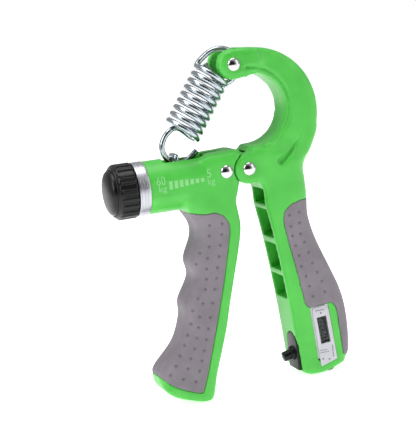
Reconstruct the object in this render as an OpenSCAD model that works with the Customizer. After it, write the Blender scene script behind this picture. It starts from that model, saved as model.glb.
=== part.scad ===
/* [Handles] */
// Length of both handles, from the pivot down to the rear foot
handle_len = 106; // [84:1:132]
// Width of the handles across the hand
handle_w = 24; // [20:0.5:29]
// Thickness of the rubber grips
grip_t = 2.5; // [2:0.1:3]
// How far the rubber stands proud of the plastic on each side
grip_proud = 0.3; // [0.1:0.1:0.8]
// Rounding of the handle edges
edge_r = 3; // [1.5:0.5:4]

/* [Barrel] */
// Outside diameter of the barrel
barrel_d = 25.6; // [23:0.2:30]
// Bore of the barrel
bore_d = 21; // [19:0.2:24]
// Distance from the pivot to the mouth of the barrel
barrel_len = 49.6; // [44:0.2:58]
// Width of the slot along the top of the barrel
slot_w = 11.6; // [11:0.2:14]
// Height of the pivot above the axis of the barrel
pivot_rise = 3.2; // [2.6:0.1:3.8]

/* [Adjuster] */
// Outside diameter of the knob
knob_d = 26.6; // [24:0.2:32]
// Length of the fluted part of the knob
knob_len = 9.2; // [7.5:0.1:12]
// Number of flutes round the knob
knob_flutes = 24; // [16:1:30]
// Length of the aluminium ring
ring_len = 5.5; // [4.5:0.1:7]
// Diameter of the adjusting screw
screw_d = 6; // [5:0.1:7]
// Distance that the nut travels along the screw
travel = 12; // [10:0.5:12.5]
// Length of the nut
nut_len = 8.5; // [7:0.5:10.5]

/* [Pivot and rivets] */
// Radius of the round knuckles at the pivot
knuckle_r = 7.4; // [6.6:0.1:8.2]
// Thickness of the front handle's tongue
tongue_t = 8; // [6.5:0.2:9.4]
// Shank diameter of the pivot rivet and the spring rivet
rivet_d = 4; // [3.2:0.1:5]
// Diameter of the domed rivet heads
rivet_head_d = 6.2; // [5.4:0.1:7.4]
// Shank diameter of the rivet that holds the screw
lock_d = 3; // [2.4:0.1:3.2]

/* [Spring] */
// Diameter of the spring wire
wire_d = 2.6; // [1.8:0.1:2.6]
// Mean radius of the coils and of both end loops
coil_r = 8.2; // [7.4:0.1:9]
// Number of turns, which end on the side opposite to where they begin
coil_turns = 8.5; // [6.5:1:8.5]

/* [Bracket] */
// Width of the curved bracket above the pivot
arm_w = 18; // [15:0.5:21]
// Width across the two cheeks that hold the spring rivet
tip_w = 21; // [18:0.5:25]
// Gap between the two cheeks
clevis_gap = 9; // [8:0.2:11]
// Diameter of the sleeve on the spring rivet
sleeve_d = 6.4; // [5.8:0.1:7]

/* [Counter] */
// Length of the counter's window
lcd_len = 13.4; // [11:0.2:16]
// Width of the counter's window
lcd_w = 5; // [4:0.1:6]
// Diameter of the trigger plunger
plunger_d = 5; // [4:0.1:6]
// How far the plunger stands out of the handle
plunger_out = 6; // [4.5:0.1:6.4]
// How far the plunger travels
plunger_stroke = 2.6; // [2:0.1:3]
// Diameter of the reset button
reset_d = 4.4; // [3.6:0.1:5]
// Diameter of the button cell
cell_d = 6.8; // [5.8:0.1:8]

/* [Fits] */
// Running clearance on a pin, in radius
run = 0.06; // [0.03:0.01:0.1]
// Clearance between parts that move past each other
gap = 0.3; // [0.2:0.05:0.4]

/* [Hidden] */
$fn = 48;

GREEN = [0.25, 0.8, 0.2];
GREY = [0.53, 0.49, 0.53];
BLACK = [0.07, 0.07, 0.08];
STEEL = [0.78, 0.79, 0.8];
PALE = [0.82, 0.81, 0.83];

// ---- Curves. Outlines lie in the X-Z plane, with the pivot at the origin. ----
function bend(a, b, c, d, t) = 0.5 * (2 * b + (c - a) * t + (2 * a - 5 * b + 4 * c - d) * t * t
    + (3 * b - a - 3 * c + d) * t * t * t);
// A smooth curve through the given points
function smooth(p, n = 4) = let (m = len(p) - 1) concat(
    [for (i = [0 : m - 1], j = [0 : n - 1])
        bend(p[max(i - 1, 0)], p[i], p[i + 1], p[min(i + 2, m)], j / n)], [p[m]]);
// Points below the pivot follow the handle's length
drawn_len = 106;
function low(p) = [for (q = p) [q[0], q[1] * handle_len / drawn_len]];

// ---- Barrel line ----
axis_z = -pivot_rise;
mouth_x = -barrel_len;
ring_x = mouth_x - ring_len;
knob_x = ring_x - gap;
knob_face_x = knob_x - knob_len;
dome_len = 4.4;
lock_x = -11.4;
lock_z = axis_z + 3.4;
core_r = lock_z - axis_z - lock_d / 2 - 0.15;
screw_end_x = -8.6;
spigot_d = barrel_d - 3;
ring_d = barrel_d + 0.4;
bush_len = 5;
bush_x = mouth_x - ring_len + 1.2;
washer_t = 0.8;
flat_z = axis_z + screw_d / 2 + 1.6;

// ---- Spring line ----
pin_x = -33.3;
pin_z = barrel_d / 2 - pivot_rise + 0.5;
tip_x = -1.8;
tip_z = 50;
hook_at = [pin_x + 2.9, pin_z + 4.2];
eye_at = [tip_x - 2.8, tip_z - 0.8];
coil_from = [pin_x + 5.6, pin_z + 10.8];
coil_to = [tip_x - 7.9, tip_z - 4.3];
coil_dir = atan2(coil_to[1] - coil_from[1], coil_to[0] - coil_from[0]);
coil_len = norm(coil_to - coil_from);
staple_w = slot_w - wire_d - 2 * gap - 0.4;
nut_x = pin_x - 6;
bore_end_x = nut_x + nut_len + travel + gap;
barrel_end_x = bore_end_x + 3;
nut_d = bore_d - 2 * gap;
slot_x1 = nut_x - 0.5;
slot_x2 = pin_x + travel + wire_d / 2 + gap;
groove_x2 = slot_x2 + 9;

// ---- Handle outlines ----
front_left = low([[-31.5, -17], [-28.2, -24], [-28.4, -30.5], [-32.7, -40.5], [-31.9, -49],
    [-37.8, -60], [-38.4, -68], [-43, -79.5], [-52.5, -89.5]]);
front_foot = low([[-54.6, -93.5], [-54.2, -97.6], [-51.5, -102.3], [-46, -105.6], [-40, -107.7],
    [-34, -109.3], [-30.3, -108.8], [-28.5, -105]]);
front_right = low([[-26.8, -98], [-19.4, -76.3], [-15.6, -62], [-8.7, -37.6], [-6.5, -27],
    [-7, -20]]);
front_outline = concat(smooth(front_left), smooth(front_foot), smooth(front_right),
    [[-7.6, -14.5], [-6.6, -11.6], [-4.6, -9.6], [-2, -8.4], [0, 0], [-15, -4], [-31, -6],
    [-33.5, -10]]);
front_head = [[-2, -8.4], [0, 0], [-0.7, 8.6], [-2.4, 9.9], [-5.5, 10.1], [-10, 9.6],
    [-18, 9.5], [-18, -15], [-7.4, -15], [-7.4, -12.6], [-6.2, -10.8]];
front_grip_edge = concat(
    low([[-60, -89]]), [[-60, -16.6], [-31, -17.2], [-24.4, -18.6], [-19.4, -18.4]],
    low(smooth([[-15.6, -20.2], [-13.1, -25], [-14.3, -33], [-19.4, -53.7], [-27.7, -81.8],
        [-34, -101], [-36, -103.8]])),
    low(smooth([[-39.5, -102.8], [-45, -100.4], [-50.5, -97.2], [-54.4, -93.6], [-60, -89]])));

arm_out_at = [8, 25];
arm_out_r = 31.8;
arm_in_at = [5.5, 27.5];
arm_in_r = 17.3;
rear_right = concat([[39, 16], [37.7, 12], [34.3, 5.1], [31, 1]],
    smooth(low([[29.3, -4], [29.8, -15], [29.2, -27], [32.2, -39.8], [38.1, -55], [42.4, -67],
        [44.3, -80], [43.9, -96], [41.6, -101.2], [37.4, -103.5]])));
rear_foot = low([[33, -105], [27.5, -106.3], [21.5, -106.2], [18, -104.6], [16.6, -102]]);
rear_left = smooth(concat(low([[15.9, -92], [15, -80], [12.7, -56], [9.9, -34], [7.6, -20]]),
    [[7.4, -12.5], [6, -9], [3, -6.9]]));
rear_outline = concat([[-0.2, 7.4], [-0.2, 8.4], [3.5, 9.8], [20, 14]], rear_right, rear_foot,
    rear_left, [[0, 0]]);
rear_grip_edge = concat([[60, -18.8], [24.5, -18.8], [19, -20.2], [15.6, -23]],
    smooth(low([[14.6, -26.5], [15.1, -32], [18.9, -53.7], [21.4, -70]])),
    smooth(low([[23.4, -72.2], [32, -71.4], [35.4, -71.6], [37.4, -75], [38, -84], [39, -98.6]])),
    low([[60, -101]]));

// ---- Standing position: both feet on the floor ----
foot_a = low([[-34, -109.3]])[0];
foot_b = low([[27.5, -106.3]])[0];
stand_tilt = atan2(foot_b[1] - foot_a[1], foot_b[0] - foot_a[0]);
foot_flat = 0.5;
function stood_x(p) = p[0] * cos(stand_tilt) + p[1] * sin(stand_tilt);
function stood_z(p) = p[1] * cos(stand_tilt) - p[0] * sin(stand_tilt);
floor_z = stood_z(foot_a) + foot_flat;
left_x = stood_x([knob_face_x - dome_len, axis_z]);
right_x = max([for (p = concat(rear_right, rear_foot)) stood_x(p)]);
mid_x = (left_x + right_x) / 2;

// ---- Counter, on the near side of the rear handle's foot ----
counter_at = low([[29.2, -85]])[0];
counter_lean = 4;
module_len = 26;
module_w = cell_d + 2.6;
module_t = 20.5;
label_t = 0.5;
label_pts = low([[24.9, -72.9], [31.4, -72.1], [33.1, -74.3], [35.2, -99.8], [26.5, -102.4],
    [24.6, -74]]);
lcd_at = low([[29.5, -84.2]])[0];
lcd_lean = 5;
face_y = -handle_w / 2;

// ---- Trigger, on the inner face of the rear handle ----
plunger_at = low([[16, -95.2]])[0];
plunger_lean = 13;
plate_y = -3;
plate_w = 13;
pad_up = 4.5;
pad_down = 8;
plate_t = 2;
collar_x = 4;
collar_t = 1;
spring_x = collar_x + collar_t;
switch_x = spring_x + plunger_stroke + 1.4;
switch_t = 1.4;
well_x = switch_x + switch_t + 1.6;
well_r = plunger_d / 2 + 1.2;
reset_at = low([[33.2, -104.9]])[0];
reset_lean = 24;
reset_y = -7;
reset_proud = 0.5;
reset_len = 4.4;
reset_stroke = 0.4;
reset_switch_z = reset_len - reset_proud + reset_stroke + 0.5;
reset_switch_t = 0.8;

module stand() translate([-mid_x, 0, -floor_z]) rotate([0, stand_tilt, 0]) children();
// A 2-D outline as a plate of width w across the hand
module plate(w, y = 0) translate([0, y, 0]) rotate([90, 0, 0])
    linear_extrude(height = w, center = true) children();
// The same with its edges rounded in three steps
module soft_plate(w, r = edge_r) for (i = [0 : 2])
    plate(w - 2 * r * (1 - cos(30 * i))) offset(delta = -r * (1 - sin(30 * (i + 1)))) children();
module along_x(x1, x2, r, z = axis_z) translate([x1, 0, z]) rotate([0, 90, 0])
    cylinder(h = x2 - x1, r = r);
module across(at, w, r, y = 0) translate([at[0], y, at[1]]) rotate([90, 0, 0])
    cylinder(h = w, r = r, center = true);
module outline(p) polygon(p);
module disc(at, r) translate(at) circle(r = r);
module below_floor() rotate([0, -stand_tilt, 0]) translate([-200, -50, floor_z - 50])
    cube([400, 100, 50]);
// A rivet across the hand with a low dome at each end
module rivet(at, w, d) {
    across(at, w, d / 2);
    for (s = [-1, 1]) translate([at[0], s * w / 2, at[1]]) rotate([-90 * s, 0, 0])
        intersection() {
            cylinder(h = rivet_head_d, d = rivet_head_d);
            translate([0, 0, 1.5 - rivet_head_d * 0.75])
                sphere(r = rivet_head_d * 0.75, $fn = 64);
        }
}
// A short row of blind pockets in a handle's inner face
module pockets(rows, depth, side) for (q = rows) let (p = low([[q[0], q[1]]])[0],
        len = q[2] * handle_len / drawn_len)
    translate([p[0], 0, p[1]]) rotate([0, q[3], 0])
        translate([side * depth / 2, 0, 0]) cube([depth, handle_w - 9, len], center = true);

module front_profile() outline(front_outline);
module front_grip_area() intersection() { front_profile(); outline(front_grip_edge); }
module rear_profile() {
    intersection() {
        difference() { disc(arm_out_at, arm_out_r); disc(arm_in_at, arm_in_r); }
        polygon([[tip_x, 28], [tip_x, 70], [60, 70], [60, -6], [2, -6], [2, 28]]);
    }
    difference() { outline(rear_outline); disc(arm_in_at, arm_in_r); }
    disc([0, 0], knuckle_r);
}
// The part of the rear outline under a line that falls to the right by "drop"
module rear_under(drop) intersection() { rear_profile(); polygon([[-20, 9.5], [8, 9.5],
    [60, 9.5 - drop], [60, -200], [-20, -200]]); }
module rear_lower() rear_under(24);
module rear_grip_area() intersection() { rear_profile(); outline(rear_grip_edge); }
module tip_profile() union() {
    disc([tip_x, tip_z], 7.3);
    polygon([[tip_x, tip_z - 7.3], [4, 44], [9, 44], [12, 56.4], [tip_x, tip_z + 7.3]]);
}

module front_handle() color(GREEN) stand() difference() {
    union() {
        soft_plate(handle_w) difference() { front_profile(); outline(front_grip_edge); }
        plate(handle_w - 2 * grip_t) offset(delta = -grip_t) front_profile();
        soft_plate(handle_w, 2 * edge_r) outline(front_head);
        along_x(mouth_x, barrel_end_x, barrel_d / 2);
        along_x(ring_x + 0.6, mouth_x + 1, spigot_d / 2);
        across([0, 0], tongue_t, knuckle_r - gap);
    }
    along_x(ring_x - 1, bore_end_x, bore_d / 2);
    along_x(bore_end_x - 1, screw_end_x + 0.4, screw_d / 2 + run);
    translate([slot_x1, -slot_w / 2, axis_z]) cube([slot_x2 - slot_x1, slot_w, barrel_d]);
    translate([slot_x2 - 1, -wire_d / 2 - 0.6, axis_z + bore_d / 2 - 6.5])
        cube([groove_x2 - slot_x2 + 1, wire_d + 1.2, barrel_d]);
    for (s = [-1, 1]) across([0, 0], 20, knuckle_r + gap, s * (tongue_t / 2 + 10));
    across([0, 0], 60, rivet_d / 2);
    across([lock_x, lock_z], 60, lock_d / 2);
    pockets([[-7.2, -29, 13, 11], [-11.4, -45.6, 14, 17], [-16.4, -63, 14, 15],
        [-21.2, -80.4, 14, 16]], 7, -1);
    below_floor();
}

module front_grip() color(GREY) stand() difference() {
    soft_plate(handle_w + 2 * grip_proud) front_grip_area();
    plate(handle_w - 2 * grip_t) offset(delta = -grip_t) front_profile();
    below_floor();
}

module barrel_ring() color(STEEL) stand() difference() {
    along_x(ring_x, mouth_x, ring_d / 2);
    along_x(ring_x - 1, mouth_x + 1, spigot_d / 2);
}

module end_bush() color(PALE) stand() difference() {
    union() {
        along_x(bush_x, bush_x + bush_len, bore_d / 2);
        along_x(bush_x - 0.6, bush_x, screw_d / 2 + 2);
    }
    along_x(bush_x - 2, bush_x + bush_len + 1, screw_d / 2 + run);
}

// The knob hides the end of the screw; its cap closes the front
module adjust_knob() color(BLACK) stand() difference() {
    along_x(knob_face_x, knob_x, knob_d / 2);
    along_x(knob_face_x - 1, knob_face_x + 1.6, knob_d / 2 - 2);
    along_x(knob_face_x + 1, knob_face_x + 4, screw_d / 2 + 1.6);
    along_x(knob_face_x, knob_x + 1, screw_d / 2);
    for (i = [0 : knob_flutes - 1]) rotate_about_axis(i * 360 / knob_flutes)
        translate([knob_x - knob_len + 1.4, 0, knob_d / 2 + 0.75]) rotate([0, 90, 0])
            cylinder(h = knob_len, r = 1.35, $fn = 16);
}
module rotate_about_axis(a) translate([0, 0, axis_z]) rotate([a, 0, 0]) children();

module knob_cap() color(BLACK) stand() translate([knob_face_x, 0, axis_z]) rotate([0, -90, 0])
    rotate_extrude($fn = 96) polygon(concat([[0, -1.6], [knob_d / 2 - 2, -1.6],
        [knob_d / 2 - 2, 0], [knob_d / 2 - 0.6, 0]],
        [for (a = [0 : 15 : 90]) [(knob_d / 2 - 0.6) * pow(cos(a), 0.7), dome_len * sin(a)]]));

module adjust_screw() color(STEEL) stand() difference() {
    union() {
        along_x(knob_face_x + 1.6, screw_end_x, screw_d / 2);
        along_x(knob_face_x + 1.6, knob_face_x + 4, screw_d / 2 + 1.6);
    }
    difference() {
        along_x(lock_x - lock_d / 2 - 0.3, lock_x + lock_d / 2 + 0.3, screw_d);
        along_x(lock_x - lock_d, lock_x + lock_d, core_r);
    }
}

module thrust_washer() color(STEEL) stand() difference() {
    along_x(knob_x, knob_x + washer_t, screw_d / 2 + 4.6);
    along_x(knob_x - 1, knob_x + 4, screw_d / 2);
}

// The nut slides in the bore; its flat top leaves room for the spring's hook
module traveller_nut() color([0.7, 0.62, 0.35]) stand() difference() {
    along_x(nut_x, nut_x + nut_len, nut_d / 2);
    along_x(nut_x - 1, nut_x + nut_len + 1, screw_d / 2 + run);
    translate([nut_x - 1, -wire_d / 2 - 1, flat_z])
        cube([nut_len + 2, wire_d + 2, barrel_d]);
    for (s = [-1, 1]) staple_leg(s);
}
module staple_leg(s) translate([pin_x, s * staple_w / 2, axis_z + 3])
    cylinder(h = pin_z - axis_z - 3, d = wire_d);
module traveller_staple() color(STEEL) stand() {
    for (s = [-1, 1]) staple_leg(s);
    across([pin_x, pin_z], staple_w, wire_d / 2);
    for (s = [-1, 1]) translate([pin_x, s * staple_w / 2, pin_z]) sphere(d = wire_d);
}

module lock_rivet() color(STEEL) stand() rivet([lock_x, lock_z], handle_w, lock_d);
module pivot_rivet() color(STEEL) stand() rivet([0, 0], handle_w + 0.2, rivet_d);
module pivot_washers() color(PALE) stand() for (s = [-1, 1]) difference() {
    across([0, 0], 0.5, knuckle_r - 1.4, s * (tongue_t / 2 + 0.25));
    across([0, 0], 30, rivet_d / 2);
}

module rear_handle() color(GREEN) stand() difference() {
    union() {
        soft_plate(handle_w) difference() { rear_lower(); outline(rear_grip_edge); }
        plate(handle_w - 2 * grip_t) offset(delta = -grip_t) rear_lower();
        soft_plate((handle_w + arm_w) / 2) difference() { rear_under(2); outline(rear_grip_edge); }
        soft_plate(arm_w) difference() { rear_profile(); outline(rear_grip_edge); }
        soft_plate(tip_w, 2) tip_profile();
    }
    // slot for the tongue and its washers
    across([0, 0], tongue_t + 1.2, knuckle_r + gap);
    across([0, 0], 60, rivet_d / 2 + run);
    // gap between the cheeks at the spring rivet
    translate([tip_x - 15, -clevis_gap / 2, tip_z - 12]) cube([23.5, clevis_gap, 24]);
    across([tip_x, tip_z], 60, rivet_d / 2);
    // groove beside the inner curve and the leaf-shaped hollow, on both faces
    for (s = [-1, 1]) {
        plate(2, s * arm_w / 2) intersection() {
            difference() { disc([5.2, 28.4], 19.6); disc([5.2, 28.4], 18.2); }
            polygon([[6, 60], [60, 60], [60, 0], [10, 0], [10, 28], [6, 28]]);
        }
        plate(2, s * handle_w / 2) leaf();
    }
    pockets([[7.6, -16, 6, 0], [8.9, -28.7, 14.5, -5.5], [11.3, -45.8, 13.5, -6],
        [13.2, -60.9, 11.5, -4]], 7.5, 1);
    counter_room();
    below_floor();
}
module leaf() outline(smooth([[31.2, 18.7], [28.9, 14.6], [26.7, 11], [23.8, 8], [20.4, 5.6],
    [17.2, 4.3], [14.6, 2.9], [14.8, 0.4], [17.4, -0.6], [22.2, 2.9], [24.6, 5.5], [27, 9],
    [29.3, 13.1], [31.2, 18.7]]));

module rear_grip() color(GREY) stand() difference() {
    soft_plate(handle_w + 2 * grip_proud) rear_grip_area();
    plate(handle_w - 2 * grip_t) offset(delta = -grip_t) rear_lower();
    below_floor();
}

module spring_rivet() color(STEEL) stand() rivet([tip_x, tip_z], tip_w, rivet_d);
module spring_sleeve() color(PALE) stand() difference() {
    across([tip_x, tip_z], clevis_gap, sleeve_d / 2);
    across([tip_x, tip_z], 30, rivet_d / 2);
}

// ---- Spring: a hook, a coil and an eye of one wire ----
// Part of a wire ring in the mid-plane, between two angles from +X towards +Z
module wire_arc(at, from, to) translate([at[0], 0, at[1]]) rotate([90, 0, 0]) rotate([0, 0, from])
    rotate_extrude(angle = to - from, $fn = 64) translate([coil_r, 0]) circle(d = wire_d, $fn = 24);
module spring_lower_hook() color(STEEL) stand() wire_arc(hook_at, coil_dir + 28, coil_dir + 285);
module spring_upper_hook() color(STEEL) stand() wire_arc(eye_at, coil_dir - 110, coil_dir + 130);
// One ring of a helix of wire with eight sides, and the faces that join the rings
function coil_ring(t) = let (a = -360 * coil_turns * t, c = cos(a), s = sin(a))
    [for (k = [0 : 7]) let (r = coil_r + wire_d / 2 * cos(45 * k))
        [r * c, r * s, coil_len * t + wire_d / 2 * sin(45 * k)]];
module spring_coil() color(STEEL) stand() translate([coil_from[0], 0, coil_from[1]])
    rotate([0, 90 - coil_dir, 0]) {
        n = coil_turns * 16;
        polyhedron(points = [for (i = [0 : n]) each coil_ring(i / n)],
            faces = concat([[for (k = [7 : -1 : 0]) k]], [[for (k = [0 : 7]) n * 8 + k]],
                [for (i = [0 : n - 1], k = [0 : 7])
                    [i * 8 + k, i * 8 + (k + 1) % 8, (i + 1) * 8 + (k + 1) % 8, (i + 1) * 8 + k]]),
            convexity = 10);
    }

// ---- Counter ----
module counter_frame() translate([counter_at[0], 0, counter_at[1]])
    rotate([0, -counter_lean, 0]) children();
module counter_room() {
    counter_frame() translate([-module_w / 2, face_y - 1, -module_len / 2 - 1])
        cube([module_w, module_t + 1, module_len + 1]);
    plate(2 * label_t, face_y) outline(label_pts);
    trigger_frame() translate([-0.3, 0, 0]) trigger_pad(plate_t);
    trigger_frame() along_trigger(0, well_x, well_r);
    reset_frame() translate([0, 0, -2])
        cylinder(h = reset_switch_z + reset_switch_t + 2, d = reset_d + 2 * gap);
    across_cover(0);
    translate([counter_at[0], face_y + module_t - 1, counter_at[1] + 2]) rotate([-90, 0, 0])
        cylinder(h = handle_w - module_t, d = cell_d);
}
// The battery cover closes the far side behind the module
module across_cover(shrink) translate([counter_at[0], 0, counter_at[1] + 2])
    translate([0, handle_w / 2 - 1.6, 0]) rotate([-90, 0, 0])
        cylinder(h = 3, d = cell_d + 3 - shrink);
module trigger_frame() translate([plunger_at[0], plate_y, plunger_at[1]]) children();
// A plate across the inner face with a round top end
module trigger_pad(t) rotate([0, 90, 0]) linear_extrude(height = t) {
    translate([-pad_up, 0]) circle(d = plate_w);
    translate([-pad_up, -plate_w / 2]) square([pad_up + pad_down, plate_w]);
}
module along_trigger(x1, x2, r) rotate([0, -plunger_lean, 0]) translate([x1, 0, 0])
    rotate([0, 90, 0]) cylinder(h = x2 - x1, r = r);
module reset_frame() translate([reset_at[0], reset_y, reset_at[1]])
    rotate([0, -reset_lean, 0]) children();

module counter_housing() color(PALE) stand() difference() {
    counter_frame() translate([-module_w / 2, face_y + label_t, -module_len / 2])
        cube([module_w, module_t - label_t, module_len]);
    counter_frame() translate([-module_w / 2 + 0.9, face_y + label_t + 3, -module_len / 2 + 1])
        cube([module_w - 1.8, module_t - label_t, module_len - 2]);
    lcd_cut(lcd_len, lcd_w, 0, 4);
    trigger_frame() along_trigger(0, well_x + 2, well_r);
}
// A block of the window's outline between two depths under the near face
module lcd_cut(len, w, y1, y2) translate([lcd_at[0], 0, lcd_at[1]]) rotate([0, -lcd_lean, 0])
    translate([-w / 2, face_y + y1, -len / 2]) cube([w, y2 - y1, len]);
module counter_label() color(PALE) stand() difference() {
    plate(label_t, face_y + label_t / 2) outline(label_pts);
    lcd_cut(lcd_len, lcd_w, -2, 4);
}
module lcd_lens() color([0.5, 0.55, 0.5, 0.6]) stand() lcd_cut(lcd_len, lcd_w, 0.1, label_t);
module lcd_panel() color([0.25, 0.3, 0.26]) stand() lcd_cut(lcd_len, lcd_w, label_t, 2);
module counter_board() color([0.1, 0.35, 0.15]) stand() counter_frame()
    translate([-module_w / 2 + 1.1, face_y + 4.6, -module_len / 2 + 1.4])
        cube([module_w - 2.2, 1, module_len - 2.8]);
module button_cell() color(STEEL) stand()
    translate([counter_at[0], face_y + module_t - 3.3, counter_at[1] + 2])
        rotate([-90, 0, 0]) cylinder(h = 2.6, d = cell_d);
module battery_contacts() color([0.8, 0.7, 0.4]) stand() counter_frame()
    for (z = [2 - cell_d / 2 - 0.8, 2 + cell_d / 2 + 0.4])
        translate([-1, face_y + 5.6, z]) cube([2, module_t - 8.4, 0.4]);
module battery_cover() color(GREEN) stand() difference() {
    intersection() {
        across_cover(0.3);
        translate([-100, -50, -200]) cube([200, 50 + handle_w / 2, 400]);
    }
    translate([counter_at[0], 0, counter_at[1] + 2]) rotate([-90, 0, 0]) cylinder(h = 40, d = 2);
}
module cover_screw() color(STEEL) stand() translate([counter_at[0], 0, counter_at[1] + 2])
    difference() {
        rotate([-90, 0, 0]) translate([0, 0, handle_w / 2 - 1.6]) cylinder(h = 1.4, d = 2);
        translate([-1.5, handle_w / 2 - 0.6, -0.2]) cube([3, 2, 0.4]);
    }

// ---- Trigger and reset ----
module trigger_plate() color(BLACK) stand() difference() {
    trigger_frame() trigger_pad(plate_t - 0.3);
    trigger_frame() along_trigger(-10, 14, plunger_d / 2 + run);
}
module trigger_plunger() color(BLACK) stand() trigger_frame() {
    along_trigger(-plunger_out, collar_x, plunger_d / 2);
    along_trigger(collar_x, spring_x, plunger_d / 2 + 0.8);
}
module plunger_spring() color(STEEL) stand() trigger_frame() difference() {
    along_trigger(spring_x, switch_x, plunger_d / 2 - 0.1);
    along_trigger(spring_x - 1, switch_x + 1, plunger_d / 2 - 0.7);
}
module trigger_switch() color(BLACK) stand() trigger_frame()
    along_trigger(switch_x, switch_x + switch_t, plunger_d / 2 + 0.1);
module reset_button() color(BLACK) stand() reset_frame() translate([0, 0, -reset_proud])
    cylinder(h = reset_len, d = reset_d);
module reset_switch() color(BLACK) stand() reset_frame()
    translate([0, 0, reset_switch_z]) cylinder(h = reset_switch_t, d = 3);

front_handle();
front_grip();
barrel_ring();
end_bush();
adjust_knob();
knob_cap();
adjust_screw();
thrust_washer();
traveller_nut();
traveller_staple();
lock_rivet();
pivot_rivet();
pivot_washers();
rear_handle();
rear_grip();
spring_rivet();
spring_sleeve();
spring_lower_hook();
spring_coil();
spring_upper_hook();
counter_housing();
counter_label();
lcd_panel();
lcd_lens();
counter_board();
button_cell();
battery_contacts();
battery_cover();
cover_screw();
trigger_plate();
trigger_plunger();
plunger_spring();
trigger_switch();
reset_button();
reset_switch();
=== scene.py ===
import math
import bpy
import bmesh
import numpy as np
from mathutils import Matrix, Vector


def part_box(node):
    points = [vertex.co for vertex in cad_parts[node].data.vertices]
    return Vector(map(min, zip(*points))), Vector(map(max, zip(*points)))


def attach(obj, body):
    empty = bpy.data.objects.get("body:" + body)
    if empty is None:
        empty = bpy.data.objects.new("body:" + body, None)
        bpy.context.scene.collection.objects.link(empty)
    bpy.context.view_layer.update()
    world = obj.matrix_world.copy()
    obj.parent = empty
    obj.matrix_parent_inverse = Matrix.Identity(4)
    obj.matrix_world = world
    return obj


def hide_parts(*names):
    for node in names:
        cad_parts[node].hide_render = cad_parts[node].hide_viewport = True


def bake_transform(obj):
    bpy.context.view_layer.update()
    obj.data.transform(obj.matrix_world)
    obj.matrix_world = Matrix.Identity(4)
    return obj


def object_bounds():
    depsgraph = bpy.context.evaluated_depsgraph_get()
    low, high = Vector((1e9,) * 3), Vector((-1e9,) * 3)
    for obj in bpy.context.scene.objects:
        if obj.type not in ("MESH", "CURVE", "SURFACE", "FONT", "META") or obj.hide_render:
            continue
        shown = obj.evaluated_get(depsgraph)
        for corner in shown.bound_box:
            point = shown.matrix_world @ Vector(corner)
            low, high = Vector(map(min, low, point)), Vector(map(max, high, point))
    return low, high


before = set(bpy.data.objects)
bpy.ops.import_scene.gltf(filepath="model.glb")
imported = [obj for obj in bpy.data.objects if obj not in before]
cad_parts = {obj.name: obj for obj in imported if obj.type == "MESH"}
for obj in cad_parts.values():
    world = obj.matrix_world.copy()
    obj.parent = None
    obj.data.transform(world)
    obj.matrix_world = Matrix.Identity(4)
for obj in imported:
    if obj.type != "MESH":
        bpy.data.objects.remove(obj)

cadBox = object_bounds()
print("frame loaded:", len(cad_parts), "nodes")

# Everything is modelled in millimetres on the barrel's own line: the pivot is the origin,
# X runs along the barrel, Z is up and -Y is the side with the scale. toRow stands it up.
stand = {"tilt": 2.7927}
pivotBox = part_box("pivot_rivet")
pivot = (Vector(pivotBox[0]) + Vector(pivotBox[1])) / 2
standUp = Matrix.Translation(pivot) @ Matrix.Rotation(math.radians(stand["tilt"]), 4, "Y")
toRow = standUp @ Matrix.Scale(0.001, 4)
scene = bpy.context.scene


view = {"turn": 17.5, "rise": 9.0, "roll": 6.3, "focal": 1500.0, "middle": (208.0, 214.0),
        "size": (416, 428), "sensor": 36.0, "mark": (249.3, 168.8), "markAt": (0.0, -11.5, 0.0),
        "distance": 714.3}


def makeCamera():
    turn, rise, roll = (math.radians(view[k]) for k in ("turn", "rise", "roll"))
    back = Vector((-math.sin(turn) * math.cos(rise), -math.cos(turn) * math.cos(rise),
                   math.sin(rise)))
    right = Vector((math.cos(turn), -math.sin(turn), 0))
    up = back.cross(right)
    camX = right * math.cos(roll) - up * math.sin(roll)
    camY = right * math.sin(roll) + up * math.cos(roll)
    # the pivot rivet's near head lands at "mark" in the frame
    dx = view["mark"][0] - view["middle"][0]
    dy = view["middle"][1] - view["mark"][1]
    ray = (camX * dx + camY * dy) / view["focal"] - back
    place = Vector(view["markAt"]) - ray * view["distance"]
    turned = Matrix((camX, camY, back)).transposed().to_4x4()
    data = bpy.data.cameras.new("camera")
    data.sensor_width = view["sensor"]
    data.lens = view["focal"] * view["sensor"] / max(view["size"])
    data.clip_start = 0.05
    data.clip_end = 50
    cam = bpy.data.objects.new("camera", data)
    scene.collection.objects.link(cam)
    cam.matrix_world = standUp @ Matrix.Translation(place * 0.001) @ turned
    scene.camera = cam


makeCamera()
print("camera ready")

# lamp places are metres from the middle of the object
studio = {
    "key": {"at": (-0.95, -0.35, 0.7), "size": (0.5, 0.8), "power": 6.5},
    "fill": {"at": (0.8, -0.55, 0.3), "size": (0.5, 0.9), "power": 1.8},
    "top": {"at": (0.0, 0.0, 1.0), "size": (0.9, 0.6), "power": 6.5},
}
room = {"light": 0.5, "dark": 0.02, "toward": (-0.3, -0.94, 0.16), "inner": 0.93,
        "outer": 0.55, "floor": 1.6, "glow": 0.75}
middle = Vector([(a + b) / 2 for a, b in zip(*cadBox)])


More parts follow.
